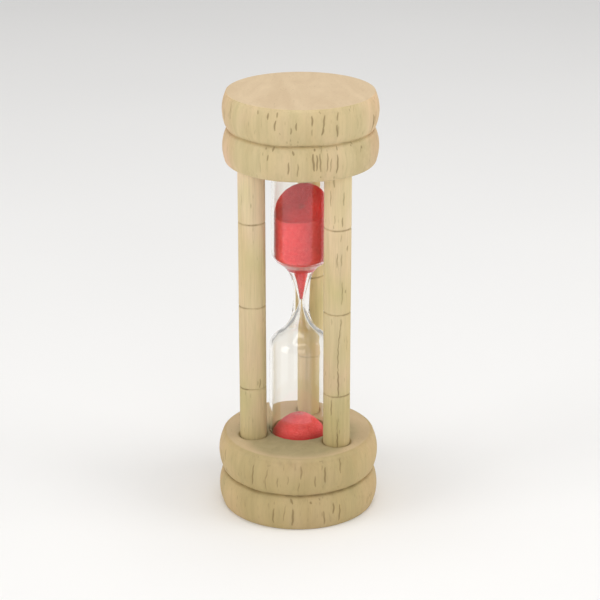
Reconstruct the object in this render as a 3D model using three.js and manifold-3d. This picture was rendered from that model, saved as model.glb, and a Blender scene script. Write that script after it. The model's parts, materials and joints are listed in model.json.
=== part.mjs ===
// Wooden sand timer (hourglass): two turned end caps joined by three dowel posts, and a blown
// glass vial of sand held between the caps. Millimetres, +Z up, origin at the centre of the
// bottom cap's resting face.
import * as THREE from "three";
import { mergeVertices } from "three/addons/utils/BufferGeometryUtils.js";
import Module from "manifold-3d";

const wasm = await Module();
wasm.setup();

// ---------------------------------------------------------------- driving dimensions
const HEIGHT = 96.5; // over both caps
const CAP_THICKNESS_TOP = 16.0;
const CAP_THICKNESS_BOTTOM = 17.2;
const CAP_RADIUS_TOP = 17.0; // over the beads
const CAP_RADIUS_BOTTOM = 18.05; // hand turned, a little larger than the top one
const TOP_CAP_X = 0.55; // the top cap was glued on this far off the bottom one's centre
const VIAL_X = 0.3; // centre of both seats, so of the vial
const BEAD_ARC = 8.9; // radius of each bead's profile
const BEAD_OUTER_AT = 3.9; // fullest point of the outer bead, from the outer face
const BEAD_INNER_AT_TOP = 12.1; // fullest point of the inner bead
const BEAD_INNER_AT_BOTTOM = 12.5;
const GROOVE_AT = 8.1; // crease between the beads
const GROOVE_WIDTH = 0.55;
const GROOVE_DEPTH = 0.5; // below the foot of the beads
const INNER_RIM_ROUND = 1.1; // rounding of the edge next to the glass

const POST_RADIUS = 3.0; // 6 mm dowel
// Centres of the posts, about 11 mm from the vial's axis and 120 degrees apart.
const POST_CENTRES = {
  post_rear: [2.79, 10.76],
  post_right: [8.57, -7.36],
  post_left: [-10.16, -3.4],
};
const POST_HOLE_DEPTH = 8.0;
const POST_HOLE_RADIUS = 3.12;
const POST_HOLE_MOUTH = 3.4; // broken edge round each hole
const POST_END_GAP = 0.3;
const POST_END_CHAMFER = 0.5;
const RING_HEIGHTS = [29.2, 48.6, 68.0]; // scored rings round each post
const RING_WIDTH = 0.5;
const RING_DEPTH = 0.25;

const SEAT_RADIUS = 7.12; // blind recess that takes the end of the vial
const SEAT_DEPTH = 5.6;
const SEAT_MOUTH_CHAMFER = 0.25;
const DISC_RADIUS = 6.9; // cork disc in the bottom of each recess
const DISC_THICKNESS = 0.8;
const DISC_GAP = 0.05;

const VIAL_RAISED = 0.5; // the vial's heights below are measured from this height
const VIAL_LEAN = 0.4; // degrees: the vial stands a little off plumb in its recesses
const VIAL_BOTTOM = 12.08;
const VIAL_TOP = 83.6;
const VIAL_R_LOWER = 6.88;
const VIAL_R_UPPER = 6.6;
const VIAL_WALL = 0.6;
const NECK_RADIUS = 1.84;
const ORIFICE_RADIUS = 0.35;
const ORIFICE_Z = 47.6;

const STOPPER_HEAD = 0.9;
const STOPPER_BELOW_RIM = 3.0;
const STOPPER_GAP = 0.12;
const SAND_GAP = 0.12; // sand to glass

const SAND_PLANE = { z0: 69.74, x: 0.155, y: 0.6 };
const SAND_LEVEL = 68.0; // height of its level front part
const HEAP_TOP = 20.5;
const HEAP_EDGE = 16.9;

const CAP_SEGMENTS = 48;
const POST_SEGMENTS = 20;
const VIAL_SEGMENTS = 32;

// ---------------------------------------------------------------- helpers
// Turns a [radius, height] profile round the Z axis.
function turned(profile, segments) {
  return new THREE.LatheGeometry(
    profile.map(([r, z]) => new THREE.Vector2(r, z)),
    segments,
  ).rotateX(Math.PI / 2);
}

// A geometry as a solid that can be cut and joined.
function solidOf(geometry) {
  const g = geometry.clone();
  g.deleteAttribute("normal");
  g.deleteAttribute("uv");
  const merged = mergeVertices(g, 1e-4);
  const index = merged.index.array;
  const triangles = [];
  for (let i = 0; i < index.length; i += 3) {
    const [a, b, c] = [index[i], index[i + 1], index[i + 2]];
    if (a !== b && b !== c && c !== a) triangles.push(a, b, c);
  }
  return new wasm.Manifold(
    new wasm.Mesh({
      numProp: 3,
      vertProperties: merged.attributes.position.array,
      triVerts: new Uint32Array(triangles),
    }),
  );
}

function geometryOf(solid) {
  const { numProp, vertProperties, triVerts } = solid.getMesh();
  const count = vertProperties.length / numProp;
  const position = new Float32Array(count * 3);
  for (let i = 0; i < count; i++)
    for (let k = 0; k < 3; k++)
      position[3 * i + k] = vertProperties[numProp * i + k];
  const g = new THREE.BufferGeometry();
  g.setAttribute("position", new THREE.BufferAttribute(position, 3));
  g.setIndex(new THREE.BufferAttribute(new Uint32Array(triVerts), 1));
  const flat = g.toNonIndexed();
  flat.computeVertexNormals();
  return flat;
}

function mesh(name, geometry, material) {
  const m = new THREE.Mesh(geometry, material);
  m.name = name;
  return m;
}

const beadRadius = (height, centre, radius) =>
  radius - BEAD_ARC + Math.sqrt(BEAD_ARC ** 2 - (height - centre) ** 2);

// ---------------------------------------------------------------- materials
const wood = () =>
  new THREE.MeshStandardMaterial({
    color: new THREE.Color(0xcdb78c),
    roughness: 0.62,
    metalness: 0,
  });
const cork = () =>
  new THREE.MeshStandardMaterial({
    color: new THREE.Color(0xb08a5e),
    roughness: 0.9,
    metalness: 0,
  });
const glass = new THREE.MeshStandardMaterial({
  color: new THREE.Color(0xf2f6f4),
  roughness: 0.04,
  metalness: 0,
  transparent: true,
  opacity: 0.35,
});
const sand = () =>
  new THREE.MeshStandardMaterial({
    color: new THREE.Color(0xdc6a64),
    roughness: 0.95,
    metalness: 0,
  });

// ---------------------------------------------------------------- end caps
// The cap is drawn with its outer face at height 0 and its inner face at its thickness.
function endCap(name, radius, thickness, innerAt, centreX) {
  const profile = [[0, 0]];
  for (let k = 0; k <= 6; k++) {
    const h = (k / 6) * (GROOVE_AT - GROOVE_WIDTH / 2);
    profile.push([beadRadius(h, BEAD_OUTER_AT, radius), h]);
  }
  const foot = beadRadius(
    GROOVE_AT - GROOVE_WIDTH / 2,
    BEAD_OUTER_AT,
    radius,
  );
  profile.push([foot - GROOVE_DEPTH, GROOVE_AT]);
  const from = GROOVE_AT + GROOVE_WIDTH / 2,
    to = thickness - INNER_RIM_ROUND;
  for (let k = 0; k <= 5; k++) {
    const h = from + (k / 5) * (to - from);
    profile.push([beadRadius(h, innerAt, radius), h]);
  }
  const rim = beadRadius(to, innerAt, radius);
  for (const a of [0.5, 1.0])
    profile.push([
      rim - INNER_RIM_ROUND * (1 - Math.cos(a)) * 1.1,
      to + INNER_RIM_ROUND * Math.sin(a),
    ]);
  profile.push([rim - INNER_RIM_ROUND * 1.1, thickness]);
  profile.push([0, thickness]);

  let body = solidOf(turned(profile, CAP_SEGMENTS));
  const T = thickness;
  const seat = solidOf(
    turned(
      [
        [0, T - SEAT_DEPTH],
        [SEAT_RADIUS, T - SEAT_DEPTH],
        [SEAT_RADIUS, T - SEAT_MOUTH_CHAMFER],
        [SEAT_RADIUS + 2 * SEAT_MOUTH_CHAMFER, T + SEAT_MOUTH_CHAMFER],
        [0, T + SEAT_MOUTH_CHAMFER],
      ],
      VIAL_SEGMENTS,
    ).translate(VIAL_X - centreX, 0, 0),
  );
  body = body.subtract(seat);
  const lip = POST_HOLE_MOUTH - POST_HOLE_RADIUS;
  for (const [x, y] of Object.values(POST_CENTRES)) {
    const hole = turned(
      [
        [0, T - POST_HOLE_DEPTH],
        [POST_HOLE_RADIUS, T - POST_HOLE_DEPTH],
        [POST_HOLE_RADIUS, T - lip],
        [POST_HOLE_RADIUS + 2 * lip, T + lip],
        [0, T + lip],
      ],
      POST_SEGMENTS,
    );
    // The top cap is turned over about X, so its holes are drawn mirrored in Y.
    hole.translate(x - centreX, name === "end_cap_top" ? -y : y, 0);
    body = body.subtract(solidOf(hole));
  }
  return mesh(name, geometryOf(body), wood());
}

// ---------------------------------------------------------------- posts
function post(name) {
  const low = CAP_THICKNESS_BOTTOM - POST_HOLE_DEPTH + POST_END_GAP;
  const high = HEIGHT - CAP_THICKNESS_TOP + POST_HOLE_DEPTH - POST_END_GAP;
  const profile = [
    [0, low],
    [POST_RADIUS - POST_END_CHAMFER, low],
    [POST_RADIUS, low + POST_END_CHAMFER],
  ];
  for (const z of RING_HEIGHTS) {
    profile.push([POST_RADIUS, z - RING_WIDTH / 2]);
    profile.push([POST_RADIUS - RING_DEPTH, z]);
    profile.push([POST_RADIUS, z + RING_WIDTH / 2]);
  }
  profile.push([POST_RADIUS, high - POST_END_CHAMFER]);
  profile.push([POST_RADIUS - POST_END_CHAMFER, high]);
  profile.push([0, high]);
  const m = mesh(name, turned(profile, POST_SEGMENTS), wood());
  const [x, y] = POST_CENTRES[name];
  m.position.set(x, y, 0);
  return m;
}

// ---------------------------------------------------------------- vial
// Outside of the glass from the closed round foot up to the open rim.
const vialOutside = [
  [0, VIAL_BOTTOM],
  [3.4, VIAL_BOTTOM + 0.08],
  [5.0, VIAL_BOTTOM + 0.5],
  [6.1, VIAL_BOTTOM + 1.35],
  [6.7, VIAL_BOTTOM + 2.6],
  [VIAL_R_LOWER, VIAL_BOTTOM + 4.2],
  [VIAL_R_LOWER, 37.2],
  [6.78, 38.0],
  [6.5, 38.6],
  [6.05, 39.2],
  [5.4, 39.75],
  [4.7, 40.35],
  [3.9, 41.1],
  [3.1, 42.0],
  [2.52, 43.0],
  [2.19, 44.0],
  [1.98, 45.2],
  [1.87, 46.5],
  [NECK_RADIUS, 48.2],
  [1.87, 50.0],
  [1.95, 51.5],
  [2.12, 52.8],
  [2.42, 53.9],
  [2.9, 54.8],
  [3.5, 55.6],
  [4.15, 56.3],
  [4.9, 57.0],
  [5.65, 57.7],
  [6.2, 58.4],
  [6.5, 59.2],
  [VIAL_R_UPPER, 60.3],
  [VIAL_R_UPPER, VIAL_TOP - 0.2],
];
// Inside of the glass, from the bottom of the lower bulb up through the orifice to the rim.
const vialInside = [
  [0, VIAL_BOTTOM + 0.75],
  [3.2, VIAL_BOTTOM + 0.82],
  [4.7, VIAL_BOTTOM + 1.2],
  [5.6, VIAL_BOTTOM + 1.95],
  [6.1, VIAL_BOTTOM + 3.0],
  [VIAL_R_LOWER - VIAL_WALL, VIAL_BOTTOM + 4.4],
  [VIAL_R_LOWER - VIAL_WALL, 36.9],
  [6.14, 37.7],
  [5.8, 38.4],
  [5.25, 39.05],
  [4.6, 39.6],
  [3.9, 40.15],
  [3.1, 40.95],
  [2.35, 41.85],
  [1.68, 42.9],
  [1.25, 43.9],
  [0.9, 45.0],
  [0.57, 46.1],
  [ORIFICE_RADIUS, ORIFICE_Z],
  [0.42, 48.2],
  [0.95, 51.2],
  [1.5, 54.2],
  [1.8, 55.2],
  [2.35, 55.95],
  [3.2, 56.6],
  [4.4, 57.35],
  [5.3, 58.0],
  [5.8, 58.7],
  [VIAL_R_UPPER - VIAL_WALL, 59.6],
  [VIAL_R_UPPER - VIAL_WALL, VIAL_TOP - 0.2],
];
const rimInside = VIAL_R_UPPER - VIAL_WALL;

function glassVial() {
  const profile = [
    ...vialOutside,
    [VIAL_R_UPPER - 0.2, VIAL_TOP],
    [rimInside + 0.2, VIAL_TOP],
    ...[...vialInside].reverse(),
  ];
  return mesh("glass_vial", turned(profile, VIAL_SEGMENTS), glass);
}

// Cork stopper glued into the filling end: a stem in the bore and a head over the rim.
function stopper() {
  const r = rimInside - STOPPER_GAP;
  const low = VIAL_TOP - STOPPER_BELOW_RIM;
  const headLow = VIAL_TOP + 0.05;
  const profile = [
    [0, low],
    [r - 0.5, low],
    [r - 0.1, low + 0.5],
    [r, headLow - 0.3],
    [r, headLow],
    [VIAL_R_UPPER - 0.15, headLow],
    [VIAL_R_UPPER, headLow + 0.15],
    [VIAL_R_UPPER, headLow + STOPPER_HEAD - 0.2],
    [VIAL_R_UPPER - 0.2, headLow + STOPPER_HEAD],
    [0, headLow + STOPPER_HEAD],
  ];
  return mesh("vial_stopper", turned(profile, VIAL_SEGMENTS), cork());
}

// The inside of the glass, drawn in by a gap, between two heights.
function insideProfile(fromZ, toZ, gap) {
  const at = (z) => {
    for (let i = 1; i < vialInside.length; i++) {
      const [r0, z0] = vialInside[i - 1],
        [r1, z1] = vialInside[i];
      if (z >= z0 && z <= z1) return r0 + ((r1 - r0) * (z - z0)) / (z1 - z0);
    }
    return rimInside;
  };
  const out = [[Math.max(0.2, at(fromZ) - gap), fromZ]];
  for (const [r, z] of vialInside)
    if (z > fromZ + 0.2 && z < toZ - 0.2) out.push([r - gap, z]);
  out.push([at(toZ) - gap, toZ]);
  return out;
}

// Sand left in the upper bulb, heaped against one side at its angle of rest.
function sandUpper() {
  const top = 75.5;
  const side = insideProfile(ORIFICE_Z + 0.25, top, SAND_GAP);
  const full = solidOf(
    turned([[0, ORIFICE_Z + 0.25], ...side, [0, top]], VIAL_SEGMENTS),
  );
  // Free surface: level at the front, where it has begun to drain, and sloping up to the back at its angle of rest.
  const above = (x, y, z0) =>
    solidOf(
      new THREE.BoxGeometry(40, 40, 20).applyMatrix4(
        new THREE.Matrix4().set(
          1, 0, 0, 0,
          0, 1, 0, 0,
          x, y, 1, z0 + 10,
          0, 0, 0, 1,
        ),
      ),
    );
  const space = above(SAND_PLANE.x, SAND_PLANE.y, SAND_PLANE.z0).intersect(
    above(0, 0, SAND_LEVEL),
  );
  return mesh("sand_upper", geometryOf(full.subtract(space)), sand());
}

// Sand run through so far: a low cone on the round foot of the lower bulb.
function sandLower() {
  const side = insideProfile(VIAL_BOTTOM + 1.25, HEAP_EDGE, SAND_GAP);
  const floor = VIAL_BOTTOM + 0.75 + SAND_GAP;
  const edge = VIAL_R_LOWER - VIAL_WALL - SAND_GAP;
  const profile = [
    [0, floor],
    [3.1, floor + 0.08],
    ...side,
    [edge * 0.72, HEAP_EDGE + (HEAP_TOP - HEAP_EDGE) * 0.25],
    [edge * 0.45, HEAP_EDGE + (HEAP_TOP - HEAP_EDGE) * 0.54],
    [edge * 0.2, HEAP_EDGE + (HEAP_TOP - HEAP_EDGE) * 0.86],
    [edge * 0.08, HEAP_TOP - 0.08],
    [0, HEAP_TOP],
  ];
  return mesh("sand_lower", turned(profile, VIAL_SEGMENTS), sand());
}

// ---------------------------------------------------------------- assembly
const timer = new THREE.Group();

const bottom = endCap(
  "end_cap_bottom",
  CAP_RADIUS_BOTTOM,
  CAP_THICKNESS_BOTTOM,
  BEAD_INNER_AT_BOTTOM,
  0,
);
const top = endCap(
  "end_cap_top",
  CAP_RADIUS_TOP,
  CAP_THICKNESS_TOP,
  BEAD_INNER_AT_TOP,
  TOP_CAP_X,
);
top.rotation.x = Math.PI; // turned over, so its outer face is uppermost
top.position.set(TOP_CAP_X, 0, HEIGHT);
timer.add(bottom, top);
for (const name of Object.keys(POST_CENTRES)) timer.add(post(name));

function seatDisc(name, low) {
  const profile = [
    [0, low],
    [DISC_RADIUS - 0.1, low],
    [DISC_RADIUS, low + 0.1],
    [DISC_RADIUS, low + DISC_THICKNESS - 0.1],
    [DISC_RADIUS - 0.1, low + DISC_THICKNESS],
    [0, low + DISC_THICKNESS],
  ];
  const m = mesh(name, turned(profile, VIAL_SEGMENTS), cork());
  m.position.x = VIAL_X;
  return m;
}
timer.add(
  seatDisc("seat_disc_bottom", CAP_THICKNESS_BOTTOM - SEAT_DEPTH + DISC_GAP),
  seatDisc(
    "seat_disc_top",
    HEIGHT - CAP_THICKNESS_TOP + SEAT_DEPTH - DISC_GAP - DISC_THICKNESS,
  ),
);

// Everything that turns with the glass, leaning about the foot of the vial.
const vial = new THREE.Group();
vial.add(glassVial(), stopper(), sandUpper(), sandLower());
const lean = new THREE.Group();
lean.rotation.y = (VIAL_LEAN * Math.PI) / 180;
lean.position.set(VIAL_X, 0, 22 + VIAL_RAISED);
vial.position.z = -22;
lean.add(vial);
timer.add(lean);

export default timer;
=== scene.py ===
"""Looks of the wooden sand timer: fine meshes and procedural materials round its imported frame."""
import json
import math

import bpy
import numpy as np
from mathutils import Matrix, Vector
from mathutils.geometry import delaunay_2d_cdt


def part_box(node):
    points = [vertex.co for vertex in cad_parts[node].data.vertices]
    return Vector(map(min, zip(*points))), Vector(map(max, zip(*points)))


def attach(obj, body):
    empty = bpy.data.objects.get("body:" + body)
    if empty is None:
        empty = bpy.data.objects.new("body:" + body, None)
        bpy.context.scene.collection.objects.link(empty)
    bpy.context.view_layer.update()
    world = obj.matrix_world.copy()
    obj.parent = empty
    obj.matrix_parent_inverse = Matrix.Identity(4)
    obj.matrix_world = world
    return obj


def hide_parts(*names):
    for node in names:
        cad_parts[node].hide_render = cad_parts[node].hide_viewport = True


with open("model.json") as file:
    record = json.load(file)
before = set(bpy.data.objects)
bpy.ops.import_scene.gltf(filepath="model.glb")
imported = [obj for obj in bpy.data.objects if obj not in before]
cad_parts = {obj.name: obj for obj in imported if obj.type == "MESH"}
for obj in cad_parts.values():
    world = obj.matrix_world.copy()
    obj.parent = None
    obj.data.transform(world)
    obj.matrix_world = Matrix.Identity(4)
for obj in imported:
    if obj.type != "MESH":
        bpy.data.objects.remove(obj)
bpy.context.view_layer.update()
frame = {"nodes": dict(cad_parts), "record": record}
MM = 0.001
rng = np.random.default_rng(20261118)

# ------------------------------------------------------------------ places, all from the frame
def box_mm(node):
    lo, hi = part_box(node)
    return np.array(lo) / MM, np.array(hi) / MM

lo_b, hi_b = box_mm("end_cap_bottom")
lo_t, hi_t = box_mm("end_cap_top")
HEIGHT = hi_t[2]
TOP_X = (lo_t[0] + hi_t[0]) / 2  # the top cap sits a little off the bottom one
VIAL_X = [j for j in frame["record"]["behaviour"]["joints"] if j["name"] == "glass_turn"][0]["pos_m"][0] / MM
R_BOTTOM, R_TOP = (hi_b[0] - lo_b[0]) / 2, (hi_t[0] - lo_t[0]) / 2
T_BOTTOM, T_TOP = hi_b[2], HEIGHT - lo_t[2]
POSTS = {}
for _n in ("post_rear", "post_right", "post_left"):
    _lo, _hi = box_mm(_n)
    POSTS[_n] = ((_lo[0] + _hi[0]) / 2, (_lo[1] + _hi[1]) / 2, _lo[2], _hi[2])
lo_v, hi_v = box_mm("glass_vial")
VIAL_Z = round(lo_v[2] - 12.08, 1)  # the vial's own heights start this far up

# ------------------------------------------------------------------ camera
cam_data = bpy.data.cameras.new("camera")
cam = bpy.data.objects.new("camera", cam_data)
bpy.context.scene.collection.objects.link(cam)
cam_data.sensor_width = 36.0
cam_data.lens = 36.0 * 2018.0 / 600.0
cam_data.clip_start, cam_data.clip_end = 0.02, 20.0
ELEV, DIST = math.radians(20.66), 0.450
centre = Vector((VIAL_X, 0, 48.2 + VIAL_Z)) * MM
cam.location = centre + Vector((0, -math.cos(ELEV), math.sin(ELEV))) * DIST
aim = centre + Vector((0.00011, 0, -0.00033))
cam.rotation_euler = (aim - cam.location).to_track_quat("-Z", "Y").to_euler()
bpy.context.scene.camera = cam

# ------------------------------------------------------------------ mesh helpers
def new_object(name, verts_mm, faces, attrs=None, smooth=True):
    me = bpy.data.meshes.new(name)
    me.from_pydata((np.asarray(verts_mm, float) * MM).tolist(), [], faces)
    me.validate(verbose=False)
    for key, values in (attrs or {}).items():
        a = me.attributes.new(key, "FLOAT", "POINT")
        a.data.foreach_set("value", np.asarray(values, np.float32))
    me.polygons.foreach_set("use_smooth", [smooth] * len(me.polygons))
    me.update()
    ob = bpy.data.objects.new(name, me)
    bpy.context.scene.collection.objects.link(ob)
    return ob

class Build:
    """Gathers vertices, faces and per-vertex values of one closed surface."""
    def __init__(self, keys=()):
        self.v, self.f, self.n = [], [], 0
        self.a = {k: [] for k in keys}
    def add(self, pts, **attrs):
        pts = np.atleast_2d(np.asarray(pts, float))
        start = self.n
        self.v.append(pts)
        self.n += len(pts)
        for k in self.a:
            val = attrs.get(k, 0.0)
            self.a[k].append(np.broadcast_to(np.asarray(val, float), (len(pts),)).copy())
        return np.arange(start, self.n)
    def strip(self, a, b):
        """Quads between two closed rings of the same length; a is below b when seen from outside."""
        a2, b2 = np.roll(a, -1), np.roll(b, -1)
        self.f += np.stack([a, a2, b2, b], 1).tolist()
    def fan(self, ring, pole, up):
        r2 = np.roll(ring, -1)
        if up:
            self.f += [[int(i), int(j), int(pole)] for i, j in zip(ring, r2)]
        else:
            self.f += [[int(j), int(i), int(pole)] for i, j in zip(ring, r2)]
    def make(self, name):
        V = np.concatenate(self.v)
        return new_object(name, V, self.f, {k: np.concatenate(x) for k, x in self.a.items()})

def ring_angles(n):
    return np.arange(n) / n * 2 * math.pi  # 0 along +X, towards +Y

class Waves:
    """Smooth periodic unevenness over (angle, height in mm)."""
    def __init__(self, r, amount, turns, pitch, n=14):
        self.k = r.integers(1, turns + 1, n)
        self.q = r.uniform(-1, 1, n) * 2 * math.pi / pitch
        self.p = r.uniform(0, 2 * math.pi, n)
        w = r.uniform(0.4, 1.0, n)
        self.w = w / math.sqrt((w ** 2).sum() / 2) * amount / math.sqrt(2)
    def __call__(self, ang, z):
        out = 0.0
        for k, q, p, w in zip(self.k, self.q, self.p, self.w):
            out = out + w * np.sin(k * ang + q * z + p)
        return out

def smooth(x, a, b):
    t = np.clip((x - a) / (b - a), 0, 1)
    return t * t * (3 - 2 * t)

def marks(ang_deg, h, radius, table):
    """Darkness of the grain marks at each vertex. Angles run from the front (-Y) towards +X."""
    out = np.zeros_like(h)
    s = np.radians(ang_deg) * radius
    for (a0, h0, a1, h1, width, strength) in table:
        if h1 < h0:
            a0, h0, a1, h1 = a1, h1, a0, h0
        s0, s1 = math.radians(a0) * radius, math.radians(a1) * radius
        length = max(0.05, math.hypot(s1 - s0, h1 - h0))
        ux, uy = (s1 - s0) / length, (h1 - h0) / length
        ds = s - s0
        full = 2 * math.pi * radius
        ds = (ds + full / 2) % full - full / 2
        dh = h - h0
        near = (np.abs(ds - (s1 - s0) / 2) < length + 1.5) & (np.abs(dh - (h1 - h0) / 2) < length + 1.5)
        if not near.any():
            continue
        t = (ds[near] * ux + dh[near] * uy) / length
        side = -ds[near] * uy + dh[near] * ux
        seed = math.sin(a0 * 12.9898 + h0 * 78.233) * 43758.5453
        seed -= math.floor(seed)
        bend = (seed - 0.5) * 0.22 * min(length, 3.0) / 3.0
        side = side - bend * np.sin(np.clip(t, 0, 1) * math.pi) - 0.05 * np.sin(t * length * 3.1 + seed * 6)
        taper = np.clip(np.sin(np.clip(t * 0.94 + 0.03, 0, 1) * math.pi), 0.02, 1) ** 0.34
        over = np.maximum(0, np.maximum(-t, t - 1)) * length
        half = width / 2 * 0.94 * taper
        m = strength * np.exp(-((np.abs(side) / half) ** 2.2) * 0.9) * np.exp(-(over / 0.12) ** 2)
        out[near] = np.maximum(out[near], m)
    return out

# ------------------------------------------------------------------ grain marks: angle and height of both ends, width, strength
TOP_MARKS = [
 (-32.3, 1.10, -31.5, 1.87, 0.36, 0.80), (-23.5, 1.38, -23.1, 2.49, 0.49, 0.90), (-16.1, 1.00, -16.6, 2.01, 0.36, 0.80),
 (-17.2, 2.63, -17.9, 4.79, 0.40, 0.90), (-5.9, 3.92, -6.3, 5.47, 0.36, 0.70), (-2.2, 3.05, -2.5, 4.44, 0.44, 0.80),
 (8.7, 1.67, 8.9, 3.53, 0.44, 0.90), (8.8, 4.38, 8.7, 5.73, 0.33, 0.60), (18.3, 1.64, 17.0, 4.11, 0.40, 0.90),
 (17.0, 4.11, 15.9, 5.75, 0.44, 0.90), (29.0, 1.17, 27.7, 2.96, 0.44, 0.70), (27.1, 3.79, 28.2, 6.40, 0.44, 0.90),
 (14.0, 0.72, 15.3, 1.18, 0.31, 0.60), (44.8, 0.17, 42.5, 1.77, 0.27, 0.40), (45.4, 3.32, 45.9, 5.73, 0.31, 0.40),
 (52.3, 2.13, 51.7, 3.36, 0.27, 0.30), (-28.3, 1.95, -28.2, 4.70, 0.27, 0.35), (-40.8, 4.22, -41.9, 6.30, 0.27, 0.30),
 (-14.3, 5.03, -13.7, 5.58, 0.33, 0.50), (-33.5, 5.16, -34.0, 6.10, 0.29, 0.40), (-56.5, 1.77, -55.3, 3.82, 0.27, 0.20),
 (-19.7, 8.64, -20.1, 9.42, 0.49, 0.80), (-5.0, 9.17, -4.2, 10.05, 0.49, 0.80), (-23.4, 10.32, -23.4, 11.46, 0.38, 0.80),
 (-7.7, 11.62, -8.1, 14.17, 0.44, 0.75), (-1.0, 11.79, -1.8, 14.58, 0.40, 0.60), (9.5, 9.80, 10.5, 13.41, 0.49, 1.00),
 (12.6, 10.05, 12.1, 13.32, 0.40, 0.90), (14.8, 9.79, 15.1, 13.62, 0.40, 0.80), (16.7, 8.47, 15.9, 9.62, 0.33, 0.50),
 (20.7, 9.74, 19.7, 13.75, 0.36, 0.70), (23.4, 10.84, 22.4, 13.84, 0.33, 0.60), (28.1, 10.39, 27.4, 14.28, 0.40, 0.90),
 (50.8, 9.82, 49.3, 10.88, 0.36, 0.50), (42.6, 8.44, 43.0, 8.86, 0.44, 0.60), (-13.1, 10.36, -12.9, 11.60, 0.27, 0.30),
 (-29.0, 12.11, -29.4, 14.37, 0.44, 0.35), (15.1, 14.66, 15.5, 15.15, 0.36, 0.60), (-42.3, 10.45, -41.7, 13.00, 0.31, 0.25),
 (28.6, 8.62, 28.6, 9.60, 0.36, 0.70), (45.5, 10.22, 44.7, 11.44, 0.31, 0.35),
]
BOTTOM_MARKS = [
 (-34.6, 14.35, -36.0, 9.42, 0.40, 0.80), (-23.2, 13.96, -24.8, 11.44, 0.33, 0.60), (-24.8, 11.44, -24.6, 8.68, 0.33, 0.55),
 (-23.6, 14.72, -20.9, 15.00, 0.36, 0.50), (-15.3, 12.44, -16.0, 10.04, 0.36, 0.55), (-8.0, 13.02, -8.3, 10.86, 0.33, 0.50),
 (1.2, 15.22, 0.9, 12.37, 0.53, 0.60), (0.4, 11.49, -1.0, 8.95, 0.36, 0.50), (11.0, 12.83, 11.3, 10.09, 0.38, 0.70),
 (18.8, 14.51, 18.4, 11.02, 0.44, 0.90), (16.7, 15.13, 16.2, 14.05, 0.31, 0.50), (17.5, 10.53, 17.2, 8.95, 0.31, 0.40),
 (31.5, 15.77, 30.3, 12.56, 0.27, 0.90), (47.4, 11.19, 48.4, 9.74, 0.31, 0.40), (28.9, 9.31, 29.7, 8.94, 0.44, 0.50),
 (57.7, 14.78, 57.1, 13.67, 0.29, 0.40), (-11.5, 15.50, -11.2, 13.98, 0.27, 0.40), (-3.3, 15.63, -3.2, 14.12, 0.27, 0.40),
 (-42.5, 11.98, -44.4, 9.37, 0.27, 0.30), (14.7, 16.07, 17.0, 15.96, 0.31, 0.50), (-46.6, 4.11, -46.6, 2.82, 0.29, 0.35),
 (-42.2, 4.56, -42.1, 3.33, 0.31, 0.40), (-18.3, 4.66, -19.3, 1.04, 0.44, 0.70), (-9.9, 5.53, -11.7, 1.84, 0.36, 0.50),
 (-4.7, 4.82, -5.3, 0.68, 0.58, 0.80), (17.2, 3.98, 18.5, 0.48, 0.44, 0.70), (25.2, 5.46, 24.8, 3.05, 0.53, 0.80),
 (30.3, 4.76, 30.0, 0.68, 0.36, 1.00), (21.5, 3.51, 23.6, 0.60, 0.29, 0.40), (-6.3, 7.12, -5.1, 6.07, 0.53, 0.80),
 (8.0, 6.46, 8.7, 5.90, 0.53, 0.80), (14.3, 7.04, 15.3, 6.48, 0.40, 0.60), (0.4, 4.61, 0.7, 3.12, 0.27, 0.30),
 (7.6, 5.01, 8.0, 3.29, 0.27, 0.30), (-14.2, 4.59, -14.0, 2.84, 0.27, 0.35),
]
POST_MARKS = {
 "post_right": [
  (-18, 79.5, -17, 77.3, 0.40, 0.70), (-31, 76.7, -32, 72.9, 0.31, 0.60), (26, 76.1, 24, 73.2, 0.36, 0.60),
  (-13, 71.1, -14, 69.2, 0.31, 0.55), (19, 70.6, 18, 68.4, 0.38, 0.70), (-39, 70.6, -39, 69.0, 0.24, 0.35),
  (13, 66.7, 12, 64.9, 0.29, 0.50), (47, 64.0, 44, 62.7, 0.40, 0.80), (-2, 62.5, -4, 59.2, 0.31, 0.70),
  (16, 62.2, 16, 59.6, 0.29, 0.65), (19, 55.9, 18, 50.4, 0.29, 0.70), (35, 53.8, 36, 53.2, 0.44, 0.70),
  (3, 60.6, 4, 57.6, 0.22, 0.35), (-34, 60.4, -35, 57.6, 0.22, 0.30), (15, 47.3, 14, 45.2, 0.36, 0.70),
  (14, 45.2, 5, 41.0, 0.29, 0.80), (5, 41.0, 4, 35.0, 0.27, 0.85), (4, 35.0, 6, 28.8, 0.33, 1.00),
  (-25, 47.4, -24, 45.8, 0.31, 0.50), (44, 43.2, 43, 39.7, 0.29, 0.45), (-24, 27.8, -25, 24.1, 0.29, 0.85),
  (-25, 24.1, -25, 19.9, 0.24, 0.40), (2, 23.5, 3, 19.8, 0.27, 0.60), (3, 19.8, 3, 16.4, 0.36, 0.95),
  (36, 21.8, 38, 18.6, 0.22, 0.30), (50, 38.2, 50, 33.4, 0.22, 0.30), (-19, 68.7, -19, 68.0, 0.27, 0.50)],
 "post_left": [
  (-45, 74.3, -47, 71.8, 0.27, 0.45), (35, 31.2, 33, 29.2, 0.36, 0.80), (22, 30.9, 21, 29.6, 0.27, 0.50),
  (57, 29.7, 57, 28.6, 0.31, 0.60), (-10, 65.1, -11, 61.9, 0.24, 0.20), (19, 59.1, 18, 54.9, 0.24, 0.20),
  (30, 43.0, 27, 37.8, 0.27, 0.25), (-27, 45.9, -29, 43.1, 0.27, 0.25)],
 "post_rear": [(-60, 60, -61, 55, 0.24, 0.25), (40, 38, 41, 34, 0.24, 0.2)],
}

def moved(table, turn, rise):
    return [(a0 + turn, h0 + rise, a1 + turn, h1 + rise, w, k) for (a0, h0, a1, h1, w, k) in table]

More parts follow.
